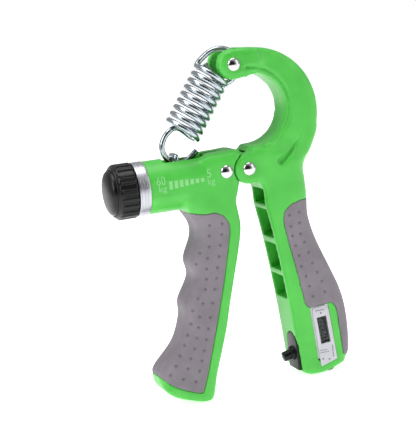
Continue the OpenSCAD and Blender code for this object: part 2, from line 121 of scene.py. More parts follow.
def makeLamps():
    for name, lamp in studio.items():
        data = bpy.data.lights.new(name, "AREA")
        data.shape = "RECTANGLE"
        data.size, data.size_y = lamp["size"]
        data.energy = lamp["power"]
        obj = bpy.data.objects.new(name, data)
        scene.collection.objects.link(obj)
        obj.location = middle + Vector(lamp["at"])
        obj.rotation_euler = (-Vector(lamp["at"])).to_track_quat("-Z", "Y").to_euler()
    world = bpy.data.worlds.new("paleRoom")
    scene.world = world
    world.use_nodes = True
    # the room is pale all round and dim on the side that the camera stands on; the lens
    # itself sees plain white behind the object
    nodes, links = world.node_tree.nodes, world.node_tree.links
    sky = nodes["Background"]
    way = nodes.new("ShaderNodeTexCoord")
    facing = nodes.new("ShaderNodeVectorMath")
    facing.operation = "DOT_PRODUCT"
    facing.inputs[1].default_value = Vector(room["toward"]).normalized()
    fade = nodes.new("ShaderNodeMapRange")
    fade.interpolation_type = "SMOOTHSTEP"
    for key, number in (("From Min", room["inner"]), ("From Max", room["outer"]),
                        ("To Min", room["dark"]), ("To Max", room["light"])):
        fade.inputs[key].default_value = number
    seen = nodes.new("ShaderNodeLightPath")
    pick = nodes.new("ShaderNodeMix")
    pick.inputs["B"].default_value = 1.0
    links.new(way.outputs["Generated"], facing.inputs[0])
    links.new(facing.outputs["Value"], fade.inputs["Value"])
    links.new(seen.outputs["Is Camera Ray"], pick.inputs["Factor"])
    links.new(fade.outputs["Result"], pick.inputs["A"])
    links.new(pick.outputs["Result"], sky.inputs["Strength"])
    sky.inputs["Color"].default_value = (1, 1, 1, 1)
    scene.view_settings.view_transform = "Standard"


makeLamps()


class Value:
    # wraps a socket, so an expression on values adds its Math nodes
    def __init__(self, finish, socket):
        self.finish = finish
        self.socket = socket

    def math(self, operation, first, second):
        return self.finish.node("ShaderNodeMath", {"operation": operation},
                                {0: first, 1: second})

    def __add__(self, other):
        return self.math("ADD", self, other)

    def __radd__(self, other):
        return self.math("ADD", other, self)

    def __sub__(self, other):
        return self.math("SUBTRACT", self, other)

    def __rsub__(self, other):
        return self.math("SUBTRACT", other, self)

    def __mul__(self, other):
        return self.math("MULTIPLY", self, other)

    def __rmul__(self, other):
        return self.math("MULTIPLY", other, self)


class Finish:
    # one material: plain numbers go on the shader's own sockets, patterns through node()
    def __init__(self, name, **numbers):
        self.material = bpy.data.materials.new(name)
        self.material.use_nodes = True
        self.tree = self.material.node_tree
        self.shader = self.tree.nodes["Principled BSDF"]
        for key, number in numbers.items():
            self.shader.inputs[key.replace("_", " ")].default_value = number

    def node(self, kind, settings=None, inputs=None, out=0):
        made = self.tree.nodes.new(kind)
        for key, setting in (settings or {}).items():
            setattr(made, key, setting)
        for key, given in (inputs or {}).items():
            if isinstance(given, Value):
                self.tree.links.new(given.socket, made.inputs[key])
            else:
                made.inputs[key].default_value = given
        return Value(self, made.outputs[out])

    def feed(self, socket, value):
        self.tree.links.new(value.socket, self.shader.inputs[socket])

    def spot(self, scale=(1, 1, 1), turn=(0, 0, 0)):
        # place on the piece, in millimetres when scale is 1
        where = self.node("ShaderNodeTexCoord", out="Object")
        return self.node("ShaderNodeMapping", {}, {
            "Vector": where, "Scale": [s * 1000 for s in scale], "Rotation": turn})

    def noise(self, size, detail=3.0, rough=0.5, scale=(1, 1, 1), turn=(0, 0, 0)):
        # size is the width of one patch in millimetres
        return self.node("ShaderNodeTexNoise", {}, {
            "Vector": self.spot(scale, turn), "Scale": 1.0 / size, "Detail": detail,
            "Roughness": rough})

    def span(self, value, low, high, start=0.0, end=1.0):
        return self.node("ShaderNodeMapRange", {"clamp": True}, {
            "Value": value, "From Min": start, "From Max": end, "To Min": low, "To Max": high})

    def blend(self, amount, first, second):
        # the colour sockets of a Mix node are numbers 6 and 7
        return self.node("ShaderNodeMix", {"data_type": "RGBA"},
                         {0: amount, 6: first, 7: second}, out=2)

    def relief(self, height, depth, strength=1.0):
        # depth in millimetres
        bump = self.node("ShaderNodeBump", {}, {
            "Height": height, "Distance": depth * 0.001, "Strength": strength})
        self.feed("Normal", bump)

    def attribute(self, name):
        return self.node("ShaderNodeAttribute", {"attribute_name": name}, out="Fac")


def rgb(red, green, blue):
    # a screen colour of 0 to 255 as the linear one that sockets take
    return tuple(((c / 255 + 0.055) / 1.055) ** 2.4 if c > 10 else c / 3295
                 for c in (red, green, blue)) + (1.0,)


def greenPlastic():
    look = {"base": rgb(78, 193, 70), "deep": rgb(64, 177, 58), "patch": 14.0, "grain": 0.35}
    f = Finish("greenPlastic", IOR=1.48, Coat_Roughness=0.12)
    tone = f.noise(look["patch"], 2.0)
    f.feed("Base Color", f.blend(f.span(tone, 0.0, 1.0, 0.3, 0.75), look["base"], look["deep"]))
    grain = f.noise(look["grain"], 2.0)
    rub = f.noise(5.0, 4.0, 0.65)
    f.feed("Roughness", f.span(rub, 0.30, 0.46) + grain * 0.04)
    f.relief(grain + rub * 0.6, 0.012, 0.55)
    return f.material


def gripRubber():
    # the last colour here is painted shade, laid into the dimples
    look = {"base": rgb(118, 111, 119), "worn": rgb(130, 123, 131), "pitAndShade": rgb(80, 73, 81)}
    f = Finish("gripRubber", IOR=1.45)
    patch = f.noise(9.0, 4.0, 0.6)
    fine = f.noise(0.45, 3.0, 0.6)
    pitAndShade = f.attribute("pitAndShade")
    body = f.blend(f.span(patch, 0.0, 1.0, 0.35, 0.7), look["base"], look["worn"])
    speck = f.blend(f.span(fine, 0.0, 0.35, 0.55, 0.8), body, look["base"])
    # the dimples are mixed towards that darker colour: painted shade in the pits
    f.feed("Base Color", f.blend(pitAndShade * 0.6, speck, look["pitAndShade"]))
    f.feed("Roughness", f.span(fine, 0.56, 0.74) - patch * 0.06)
    f.relief(fine + patch * 0.5, 0.035, 0.6)
    return f.material


def blackPlastic(name="blackPlastic", low=0.26, high=0.42):
    f = Finish(name, IOR=1.36)
    rub = f.noise(2.2, 4.0, 0.6)
    fine = f.noise(0.3, 2.0)
    f.feed("Base Color", f.blend(rub, rgb(8, 8, 10), rgb(18, 18, 21)))
    f.feed("Roughness", f.span(rub, low, high) + fine * 0.05)
    f.relief(fine + rub, 0.015, 0.5)
    return f.material


def turnedAluminium():
    f = Finish("turnedAluminium", IOR=1.5)
    # fine lines run round the ring: they change quickly along the barrel
    along = (0.0, math.radians(-stand["tilt"]), 0.0)
    lines = f.noise(0.16, 3.0, 0.7, (1.0, 0.02, 0.02), along)
    cloud = f.noise(3.5, 3.0, 0.55)
    f.feed("Metallic", f.span(cloud, 0.93, 1.0))
    f.feed("Base Color", f.blend(lines, rgb(156, 157, 165), rgb(206, 207, 212)))
    f.feed("Roughness", f.span(lines, 0.24, 0.40) + cloud * 0.06)
    f.relief(lines, 0.02, 0.5)
    return f.material


def brightSteel(name, light, dark, low, high, patch=1.6):
    f = Finish(name, Metallic=1.0)
    cloud = f.noise(patch, 4.0, 0.6)
    fine = f.noise(0.22, 2.0)
    f.feed("Base Color", f.blend(f.span(cloud, 0.0, 1.0, 0.35, 0.8), light, dark))
    f.feed("Roughness", f.span(cloud, low, high) + fine * 0.04)
    f.relief(fine + cloud, 0.006, 0.5)
    return f.material


def plainSurface(name, light, dark, low, high, patch=3.0, metal=0.0, grain=0.25):
    f = Finish(name, Metallic=metal)
    cloud = f.noise(patch, 3.0, 0.6)
    fine = f.noise(grain, 2.0)
    f.feed("Base Color", f.blend(cloud, light, dark))
    f.feed("Roughness", f.span(cloud, low, high) + fine * 0.05)
    f.relief(fine + cloud * 0.5, 0.01, 0.5)
    return f.material


def displayGlass():
    # the cells of the display show faintly as a fine grid over a mottled ground
    f = Finish("displayPanel", IOR=1.5)
    lean = (0.0, math.radians(-stand["tilt"] + 5), 0.0)
    cells = f.node("ShaderNodeTexWave", {"wave_type": "BANDS", "bands_direction": "Z"},
                   {"Vector": f.spot((1, 1, 1), lean), "Scale": 0.36})
    mottle = f.noise(1.5, 4.0, 0.7)
    ground = f.blend(f.span(mottle, 0.0, 1.0, 0.35, 0.7), rgb(24, 29, 27), rgb(42, 49, 46))
    f.feed("Base Color", f.blend(cells * 0.22, ground, rgb(26, 31, 29)))
    f.feed("Roughness", f.span(mottle, 0.16, 0.3))
    f.relief(mottle, 0.01, 0.4)
    return f.material


def clearWindow():
    f = Finish("clearWindow", IOR=1.49, Base_Color=rgb(70, 80, 76))
    smear = f.noise(2.5, 3.0)
    f.feed("Alpha", f.span(smear, 0.12, 0.22))
    f.feed("Roughness", f.span(smear, 0.04, 0.12))
    return f.material


def printInk(name, colour, second):
    f = Finish(name)
    wear = f.noise(0.5, 3.0, 0.6)
    f.feed("Base Color", f.blend(f.span(wear, 0.0, 1.0, 0.4, 0.8), colour, second))
    f.feed("Roughness", f.span(wear, 0.4, 0.6))
    return f.material


green = greenPlastic()
rubber = gripRubber()
black = blackPlastic()
knobBlack = blackPlastic("knobBlack", 0.2, 0.36)
aluminium = turnedAluminium()
chrome = brightSteel("chromedSteel", rgb(206, 203, 206), rgb(186, 183, 188), 0.06, 0.13)
springSteel = brightSteel("springSteel", rgb(186, 195, 200), rgb(132, 143, 150), 0.14, 0.24, 1.1)
screwSteel = brightSteel("screwSteel", rgb(178, 178, 184), rgb(150, 150, 158), 0.25, 0.4)
brass = brightSteel("machinedBrass", rgb(214, 178, 98), rgb(186, 148, 76), 0.25, 0.4)
nylon = plainSurface("naturalNylon", rgb(236, 232, 222), rgb(222, 217, 205), 0.4, 0.55)
labelSilver = plainSurface("labelSilver", rgb(196, 194, 202), rgb(180, 178, 187), 0.34, 0.46,
                           6.0, 0.25, 0.12)
housing = plainSurface("housingPlastic", rgb(212, 212, 216), rgb(196, 196, 201), 0.4, 0.55)
board = plainSurface("circuitBoard", rgb(34, 104, 56), rgb(24, 84, 44), 0.35, 0.5, 1.2)
display = displayGlass()
windowClear = clearWindow()
paleInk = printInk("paleInk", rgb(134, 206, 132), rgb(114, 192, 110))
darkInk = printInk("darkInk", rgb(74, 72, 80), rgb(104, 102, 110))
print("finishes ready")

# CAD nodes that show as they are
kept = {
    "end_bush": nylon, "adjust_screw": screwSteel, "thrust_washer": screwSteel,
    "traveller_nut": brass, "pivot_washers": nylon, "spring_sleeve": nylon,
    "counter_housing": housing, "lcd_panel": display, "lcd_lens": windowClear,
    "counter_board": board, "button_cell": screwSteel, "battery_contacts": brass,
    "battery_cover": green, "cover_screw": screwSteel, "plunger_spring": springSteel,
    "trigger_switch": black, "reset_switch": black,
}
for nodeName, material in kept.items():
    for place in bpy.data.objects[nodeName].material_slots:
        place.material = material


def smoothLine(points, steps=4):
    # a Catmull-Rom line through points of any dimension
    out, last = [], len(points) - 1
    for i in range(last):
        a, b, c, d = (Vector(points[min(max(i + k, 0), last)]) for k in (-1, 0, 1, 2))
        for j in range(steps):
            t = j / steps
            out.append(0.5 * (2 * b + (c - a) * t + (2 * a - 5 * b + 4 * c - d) * t ** 2
                              + (3 * b - a - 3 * c + d) * t ** 3))
    return out + [Vector(points[-1])]


def arcLine(centre, radius, start, end, steps):
    return [(centre[0] + radius * math.cos(math.radians(start + (end - start) * i / steps)),
             centre[1] + radius * math.sin(math.radians(start + (end - start) * i / steps)))
            for i in range(steps + 1)]


def toObject(name, bm):
    bm.normal_update()
    mesh = bpy.data.meshes.new(name)
    bm.to_mesh(mesh)
    bm.free()
    obj = bpy.data.objects.new(name, mesh)
    scene.collection.objects.link(obj)
    return obj


def plate(outline, near, far, rounding=0.0, segments=5):
    # an outline in X and Z as a plate between two depths, with rounded rims
    bm = bmesh.new()
    face = bm.faces.new([bm.verts.new((p[0], near, p[1])) for p in outline])
    out = bmesh.ops.extrude_face_region(bm, geom=[face])
    moved = [g for g in out["geom"] if isinstance(g, bmesh.types.BMVert)]
    bmesh.ops.translate(bm, verts=moved, vec=(0, far - near, 0))
    bmesh.ops.holes_fill(bm, edges=[e for e in bm.edges if e.is_boundary])
    bmesh.ops.recalc_face_normals(bm, faces=bm.faces)
    if rounding:
        rims = [e for e in bm.edges if abs(e.verts[0].co.y - e.verts[1].co.y) < 1e-6]
        bmesh.ops.bevel(bm, geom=rims, offset=rounding, segments=segments, profile=0.5,
                        affect="EDGES", material=-1, clamp_overlap=False)
    return toObject("plate", bm)


def rod(start, end, radius, sides=96):
    # a closed cylinder between two points
    start, end = Vector(start), Vector(end)
    bm = bmesh.new()
    bmesh.ops.create_cone(bm, cap_ends=True, segments=sides, radius1=radius,
                          radius2=radius, depth=(end - start).length)
    turn = (end - start).to_track_quat("Z", "Y").to_matrix().to_4x4()
    bmesh.ops.transform(bm, matrix=Matrix.Translation((start + end) / 2) @ turn, verts=bm.verts)
    return toObject("rod", bm)


def block(at, size, lean=0.0):
    # a block with its middle at "at", turned about Y as the pockets are
    bm = bmesh.new()
    bmesh.ops.create_cube(bm, size=1)
    bmesh.ops.scale(bm, vec=size, verts=bm.verts)
    bmesh.ops.transform(bm, verts=bm.verts, matrix=Matrix.Translation(at)
                        @ Matrix.Rotation(math.radians(lean), 4, "Y"))
    return toObject("block", bm)


def remove(obj):
    mesh = obj.data
    bpy.data.objects.remove(obj)
    bpy.data.meshes.remove(mesh)


def applyAll(obj):
    depsgraph = bpy.context.evaluated_depsgraph_get()
    mesh = bpy.data.meshes.new_from_object(obj.evaluated_get(depsgraph))
    old = obj.data
    obj.modifiers.clear()
    obj.data = mesh
    bpy.data.meshes.remove(old)


def joined(objs):
    # several closed meshes in one object; a remesh makes them one skin
    bm = bmesh.new()
    for obj in objs:
        bm.from_mesh(obj.data)
        remove(obj)
    return toObject("joined", bm)


def oneSkin(obj, voxel, rounds, strength=0.5):
    change = obj.modifiers.new("skin", "REMESH")
    change.mode = "VOXEL"
    change.voxel_size = voxel
    change.use_smooth_shade = True
    applyAll(obj)
    if rounds:
        soft = obj.modifiers.new("soft", "SMOOTH")
        soft.factor = strength
        soft.iterations = rounds
        applyAll(obj)
    return obj


def cut(obj, cutters, operation="DIFFERENCE"):
    for tool in cutters:
        change = obj.modifiers.new("cut", "BOOLEAN")
        change.operation = operation
        change.solver = "MANIFOLD"
        change.object = tool
        applyAll(obj)
        remove(tool)
    return obj


def points(obj):
    mesh = obj.data
    co = np.empty(len(mesh.vertices) * 3)
    mesh.vertices.foreach_get("co", co)
    return co.reshape(-1, 3)


def setPoints(obj, co):
    obj.data.vertices.foreach_set("co", co.reshape(-1))
    obj.data.update()


def away(co, line):
    # distance in X and Z from an open line
    x, z = co[:, 0], co[:, 2]
    best = np.full(len(co), 1e9)
    for a, b in zip(line, line[1:]):
        dx, dz = b[0] - a[0], b[1] - a[1]
        t = np.clip(((x - a[0]) * dx + (z - a[1]) * dz) / max(dx * dx + dz * dz, 1e-9), 0, 1)
        best = np.minimum(best, np.hypot(x - a[0] - t * dx, z - a[1] - t * dz))
    return best


def inside(co, outline):
    # distance from a closed outline, positive inside it
    x, z = co[:, 0], co[:, 2]
    loop = outline + outline[:1]
    within = np.zeros(len(co), bool)
    for a, b in zip(loop, loop[1:]):
        if a[1] != b[1]:
            at = a[0] + (z - a[1]) * (b[0] - a[0]) / (b[1] - a[1])
            within ^= ((a[1] > z) != (b[1] > z)) & (x < at)
    return np.where(within, 1, -1) * away(co, loop)


def smoothStep(value, low, high):
    t = np.clip((value - low) / (high - low), 0, 1)
    return t * t * (3 - 2 * t)


def settle(obj, name, material, body, *nodes, slot=None, sharp=40):
    # gives the finished mesh its name, place, finish and body
    obj.name = name
    obj.data.name = name
    obj.data.transform(toRow)
    obj.data.update()
    obj.data.materials.clear()
    obj.data.materials.append(material)
    obj.data.shade_smooth()
    if sharp:
        obj.data.set_sharp_from_angle(angle=math.radians(sharp))
    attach(obj, body)
    if nodes:
        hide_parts(*nodes)
    return obj


handle = {"width": 24.0, "edge": 3.0, "grip": 2.5, "proud": 0.3, "coarse": 0.8, "fine": 0.5,
          "fillet": 7, "side": 7.0}
barrel = {"radius": 12.8, "bore": 10.5, "axis": -3.2, "mouth": -49.6, "end": -15.0,
          "ring": -55.1, "spigot": 11.3, "slotWidth": 11.6}
knuckle = {"radius": 7.4, "tongue": 8.0, "gap": 0.3}
floorLine = {"drop": 107.0136}

frontOutline = (
    smoothLine([(-31.5, -17), (-28.2, -24), (-28.4, -30.5), (-32.7, -40.5), (-31.9, -49),
                (-37.8, -60), (-38.4, -68), (-43, -79.5), (-52.5, -89.5), (-54.6, -93.5)])
    + smoothLine([(-54.6, -93.5), (-54.2, -97.6), (-51.5, -102.3), (-46, -105.6), (-40, -107.7),
                  (-34, -109.3), (-30.3, -108.8), (-28.5, -105), (-26.8, -98)])[1:]
    + smoothLine([(-26.8, -98), (-19.4, -76.3), (-15.6, -62), (-8.7, -37.6), (-6.5, -27),
                  (-7, -20)])[1:]
    + [(-7.6, -14.5), (-6.6, -11.6), (-5.6, -9), (-9, -4), (-15, -4), (-31, -6), (-33.5, -10)])
frontHead = [(-4.4, -6), (-3, 0), (-1.6, 7.6), (-3.4, 9.6), (-6.5, 9.9), (-10, 9.6), (-18, 9.5),
             (-24, 8), (-24, -13), (-18, -15), (-7.4, -15), (-7.4, -12.6), (-6, -10)]
frontGripEdge = (
    [(-60, -89), (-60, -16.6), (-31, -17.2), (-24.4, -18.6), (-19.4, -18.4)]
    + smoothLine([(-15.6, -20.2), (-13.1, -25), (-14.3, -33), (-19.4, -53.7), (-27.7, -81.8),
                  (-34, -101), (-36, -103.8)])
    + smoothLine([(-39.5, -102.8), (-45, -100.4), (-50.5, -97.2), (-54.4, -93.6), (-60, -89)]))
rearGripEdge = (
    [(60, -18.8), (24.5, -18.8), (19, -20.2), (15.6, -23)]
    + smoothLine([(14.6, -26.5), (15.1, -32), (18.9, -53.7), (21.4, -70)])
    + smoothLine([(23.4, -72.2), (32, -71.4), (35.4, -71.6), (37.4, -75), (38, -84),
                  (39, -98.6)]) + [(60, -101)])
rearOutline = (
    [(-0.2, 6.6), (3, 8.6), (8, 9.4), (20, 12), (39, 16), (37.7, 12), (34.3, 5.1), (31, 1)]
    + smoothLine([(29.3, -4), (29.8, -15), (29.2, -27), (32.2, -39.8), (38.1, -55), (42.4, -67),
                  (44.3, -80), (43.9, -96), (41.6, -101.2), (37.4, -103.5)])
    + [(33, -105), (27.5, -106.3), (21.5, -106.2), (18, -104.6), (16.6, -102)]
    + smoothLine([(15.9, -92), (15, -80), (12.7, -56), (9.9, -34), (7.6, -20), (7.4, -12.5),
                  (6, -9), (3, -6.9)]) + [(0, 0)])
arm = {"outer": (8, 25), "outerRadius": 31.8, "inner": (5.5, 27.5), "innerRadius": 17.3,
       "width": 18.0, "tip": (-1.8, 50), "tipRadius": 7.3, "tipWidth": 21.0, "gap": 9.0}
armOutline = (arcLine(arm["outer"], arm["outerRadius"], 108, -77, 60)
              + arcLine(arm["inner"], arm["innerRadius"], -101.5, 115, 60))
tipOutline = (arcLine(arm["tip"], arm["tipRadius"], 92, 268, 24)
              + [(2, 43.1), (6, 44.2), (11, 45), (14, 50), (12, 56.2), (5, 57.2)])
# the sides that the fingers and the palm lie on
fingerSide = smoothLine([(-31, -19), (-28.2, -24), (-28.4, -30.5), (-32.7, -40.5), (-31.9, -49),
                         (-37.8, -60), (-38.4, -68), (-43, -79.5), (-52.5, -89.5),
                         (-54.6, -93.5), (-54.2, -97.6)])
palmSide = smoothLine([(32, 2), (29.3, -4), (29.8, -15), (29.2, -27), (32.2, -39.8),
                       (38.1, -55), (42.4, -67), (44.3, -80), (43.9, -96), (41.6, -101.2)])
leaf = [tuple(p) for p in smoothLine(
    [(31.2, 18.7), (28.9, 14.6), (26.7, 11), (23.8, 8), (20.4, 5.6), (17.2, 4.3), (14.6, 2.9),
     (14.8, 0.4), (17.4, -0.6), (22.2, 2.9), (24.6, 5.5), (27, 9), (29.3, 13.1)], 3)]
label = [(24.9, -72.9), (31.4, -72.1), (33.1, -74.3), (35.2, -99.8), (26.5, -102.4),
         (24.6, -74)]


# the shallow groove that follows the inside of the bracket, and the leaf-shaped hollow
groove = {"centre": (5.2, 28.4), "outer": 20.6, "inner": 18.4, "from": 96, "to": -80,
          "depth": 1.1, "edge": 0.9}
hollow = {"depth": 1.9, "edge": 1.2, "above": 6}
# rows of x, z, length and lean of the pockets on the inner faces
frontPockets = [(-7.2, -29, 13, 11), (-11.4, -45.6, 14, 17), (-16.4, -63, 14, 15),
                (-21.2, -80.4, 14, 16)]
rearPockets = [(7.5, -15.2, 7.6, 0), (8.9, -28.7, 14.5, -5.5), (11.3, -45.8, 13.5, -6),
               (13.2, -60.9, 11.5, -4)]


def core(outline):
    # what stays under the rubber
    half = handle["width"] / 2 - handle["grip"]
    bm = bmesh.new()
    face = bm.faces.new([bm.verts.new((p[0], 0, p[1])) for p in outline])
    bm.normal_update()
    bmesh.ops.inset_region(bm, faces=[face], thickness=handle["grip"], use_even_offset=True,
                           use_boundary=True)
    keep = max(bm.faces, key=lambda f: len(f.verts))
    shape = [(v.co.x, v.co.z) for v in keep.verts]
    bm.free()
    return plate(shape, -half, half)


def floorCut():
    tool = block((0, 0, -floorLine["drop"] - 25), (400, 80, 50))
    tool.data.transform(Matrix.Rotation(math.radians(-stand["tilt"]), 4, "Y"))
    return tool


def pockets(rows, side, depth=7.2, width=15.0, mouth=3.0):
    tools = []
    for x, z, length, lean in rows:
        turn = Matrix.Rotation(math.radians(lean), 4, "Y")
        at = Vector((x, 0, z)) + turn @ Vector((side * (depth - mouth) / 2, 0, 0))
        tools.append(block(at, (depth + mouth, width, length), lean))
    return tools


def sink(obj, outline, depth, edge, floor):
    # presses a hollow of one outline into both side faces
    co = points(obj)
    amount = smoothStep(inside(co, outline), 0, edge) * depth
    onFace = np.abs(co[:, 1]) > floor
    co[:, 1] -= np.where(onFace, np.sign(co[:, 1]) * amount, 0)
    setPoints(obj, co)


def roundSide(obj, line, wide):
    # rolls the rims over along one side
    r = handle["side"]
    co = points(obj)
    short = np.clip(r - away(co, line), 0, r)
    limit = wide - r + np.sqrt(r * r - short ** 2)
    co[:, 1] = np.clip(co[:, 1], -limit, limit)
    setPoints(obj, co)


half = handle["width"] / 2
flat = 80


def makeFront():
    skin = joined([
        plate(frontOutline, -half, half, handle["edge"]),
        plate(frontHead, -half, half, 4.2),
        rod((-60, 0, barrel["axis"]), (barrel["end"], 0, barrel["axis"]), barrel["radius"]),
    ])
    oneSkin(skin, handle["coarse"], handle["fillet"])
    roundSide(skin, fingerSide, half)
    oneSkin(skin, handle["coarse"], 1)
    grip = plate(frontGripEdge, -flat, flat)
    cut(skin, [grip, block((-60 + barrel["mouth"] + 30, 0, barrel["axis"]), (60, 60, 26.4))])
    inner = oneSkin(core(frontOutline), handle["fine"], 0)
    knuckleDisc = rod((0, -knuckle["tongue"] / 2, 0), (0, knuckle["tongue"] / 2, 0),
                      knuckle["radius"] - knuckle["gap"])
    spigot = rod((barrel["ring"] + 0.6, 0, barrel["axis"]),
                 (barrel["mouth"] + 1, 0, barrel["axis"]), barrel["spigot"])
    cut(skin, [inner, knuckleDisc, spigot], "UNION")
    axis = barrel["axis"]
    tools = [rod((barrel["ring"] - 2, 0, axis), (-18, 0, axis), barrel["bore"]),
             rod((-19, 0, axis), (-8.2, 0, axis), 3.06, 48),
             block((-29.75, 0, axis + 12), (20.1, barrel["slotWidth"], 24)),
             block((-15.7, 0, axis + 12), (10, 3.8, 16))]
    for s in (-1, 1):
        tools.append(rod((0, s * (knuckle["tongue"] / 2), 0), (0, s * 30, 0),
                         knuckle["radius"] + knuckle["gap"]))
    tools += pockets(frontPockets, -1)
    cut(skin, tools + [floorCut()])
    oneSkin(skin, handle["fine"], 2, 0.4)
    return settle(skin, "frontShell", green, "front_handle", "front_handle",
                  slot="green_plastic", sharp=0)


def makeRear():
    skin = joined([
        plate(rearOutline, -half, half, handle["edge"]),
        plate(armOutline, -half, half, 3.8),
        rod((0, -half, 0), (0, half, 0), knuckle["radius"]),
    ])
    oneSkin(skin, handle["coarse"], 3)
    co = points(skin)
    # the handle narrows into the arm and widens a little at its tip
    rise = co[:, 2] - (9.5 - 0.46 * (co[:, 0] - 8))
    thin = 1 - (1 - arm["width"] / handle["width"]) * smoothStep(rise, -1.5, 8)
    co[:, 1] *= thin
    setPoints(skin, co)
    skin = joined([skin, plate(tipOutline, -arm["tipWidth"] / 2, arm["tipWidth"] / 2, 2.6)])
    oneSkin(skin, handle["coarse"], 4)
    roundSide(skin, palmSide, half)
    oneSkin(skin, handle["fine"], 1)
    band = (arcLine(groove["centre"], groove["outer"], groove["from"], groove["to"], 48)
            + arcLine(groove["centre"], groove["inner"], groove["to"], groove["from"], 48))
    sink(skin, band, groove["depth"], groove["edge"], hollow["above"])
    sink(skin, leaf, hollow["depth"], hollow["edge"], hollow["above"])
    cut(skin, [plate(rearGripEdge, -flat, flat)])
    inner = oneSkin(core(rearOutline), handle["fine"], 0)
    cut(inner, [block((20, 0, 30), (120, 60, 60))])
    cut(skin, [inner], "UNION")
    tip = arm["tip"]
    tools = [rod((0, -4.6, 0), (0, 4.6, 0), 7.7),
             block((tip[0] - 3.25, 0, tip[1]), (23.5, arm["gap"], 24))]
    tools += pockets(rearPockets, 1)
    cut(skin, tools + counterRoom() + [floorCut()])
    oneSkin(skin, handle["fine"], 2, 0.4)
    return settle(skin, "rearShell", green, "rear_handle", "rear_handle",
                  slot="green_plastic", sharp=0)


counter = {"at": (29.2, -85), "lean": 4, "size": (9.4, 20.5, 26), "window": (29.5, -84.2),
           "windowLean": 5, "windowSize": (5, 13.4)}
trigger = {"at": (16, -3, -95.2), "lean": 13, "width": 13.0, "up": 4.5, "down": 8.0,
           "pin": 2.5, "out": 6.0}
resetPin = {"at": (33.2, -7, -104.9), "lean": 24, "radius": 2.2, "length": 4.4, "proud": 0.5}


def onLean(at, lean):
    return Matrix.Translation(at) @ Matrix.Rotation(math.radians(-lean), 4, "Y")


def triggerPad(x1, x2, grow=0.0):
    # a plate across the inner face with a round top, between two depths along X
    r = trigger["width"] / 2 + grow
    shape = arcLine((0, trigger["up"]), r, 0, 180, 24) + [(-r, -trigger["down"] - grow),
                                                          (r, -trigger["down"] - grow)]
    pad = plate(shape, x1, x2)
    pad.data.transform(Matrix.Translation(trigger["at"]) @ Matrix.Rotation(math.pi / 2, 4, "Z")
                       @ Matrix.Scale(-1, 4, (0, 1, 0)))
    bm = bmesh.new()
    bm.from_mesh(pad.data)
    bmesh.ops.recalc_face_normals(bm, faces=bm.faces)
    bm.to_mesh(pad.data)
    bm.free()
    return pad


def counterRoom():
    w, d, h = counter["size"]
    room3 = block((0, 0, 0), (w, d + 1, h + 1))
    room3.data.transform(onLean((counter["at"][0], 0, counter["at"][1]), counter["lean"])
                         @ Matrix.Translation((0, -half + (d - 1) / 2, -0.5)))
    bore = rod((-0.3, 0, 0), (12, 0, 0), 3.7, 48)
    bore.data.transform(onLean(trigger["at"], trigger["lean"]))
    hole = rod((0, 0, -2), (0, 0, 5.6), 2.5, 48)
    hole.data.transform(onLean(resetPin["at"], resetPin["lean"]))
    at = (counter["at"][0], counter["at"][1] + 2)
    return [room3, bore, hole, plate(label, -half - 3, -half + 0.5), triggerPad(-3, 1.7, 0.05),
            rod((at[0], half - 1.6, at[1]), (at[0], half + 3, at[1]), 4.9, 64),
            rod((at[0], 6, at[1]), (at[0], half, at[1]), 3.4, 48)]


def rounded(obj, width, segments=3, limit=35):
    change = obj.modifiers.new("edge", "BEVEL")
    change.width = width
    change.segments = segments
    change.limit_method = "ANGLE"
    change.angle_limit = math.radians(limit)
    applyAll(obj)
    return obj


frontShell = makeFront()
print("front shell")
makeRear()
print("rear shell")


dimples = {
    "radius": 1.0, "depth": 0.42, "voxel": 0.4,
    "front": [
        (-16.6, -23.9), (-17.6, -29.0), (-18.8, -33.9), (-20.0, -39.3), (-21.4, -44.4),
        (-22.4, -49.4), (-23.9, -54.6), (-25.6, -61.1), (-27.7, -67.8), (-29.2, -73.0),
        (-30.8, -78.1), (-32.6, -83.3), (-34.3, -87.9), (-36.1, -92.7), (-38.4, -97.5),
        (-22.9, -23.8), (-23.5, -28.8), (-24.2, -33.9), (-25.8, -39.1), (-26.7, -44.2),
        (-27.3, -49.2), (-28.4, -54.0), (-30.6, -60.4), (-32.8, -66.6), (-33.9, -71.7),
        (-35.5, -76.6), (-37.1, -81.5), (-39.6, -86.0), (-41.5, -90.5), (-44.5, -95.1),
        (-28.7, -36.4), (-31.0, -41.5), (-32.4, -57.9), (-35.6, -63.4), (-37.0, -69.7),
        (-39.2, -74.9), (-41.3, -79.6), (-44.3, -84.2), (-46.9, -88.6), (-50.2, -92.3)],
    "rear": [
        (17.6, -25.0), (17.8, -30.5), (18.2, -35.3), (19.4, -40.3), (20.5, -45.4),
        (21.1, -50.9), (23.0, -56.2), (24.3, -61.3), (25.6, -66.5), (22.7, -24.3),
        (22.4, -29.5), (22.4, -34.9), (24.0, -39.4), (25.6, -44.6), (27.0, -50.2),
        (29.1, -55.0), (31.0, -59.9), (32.0, -65.4)]}


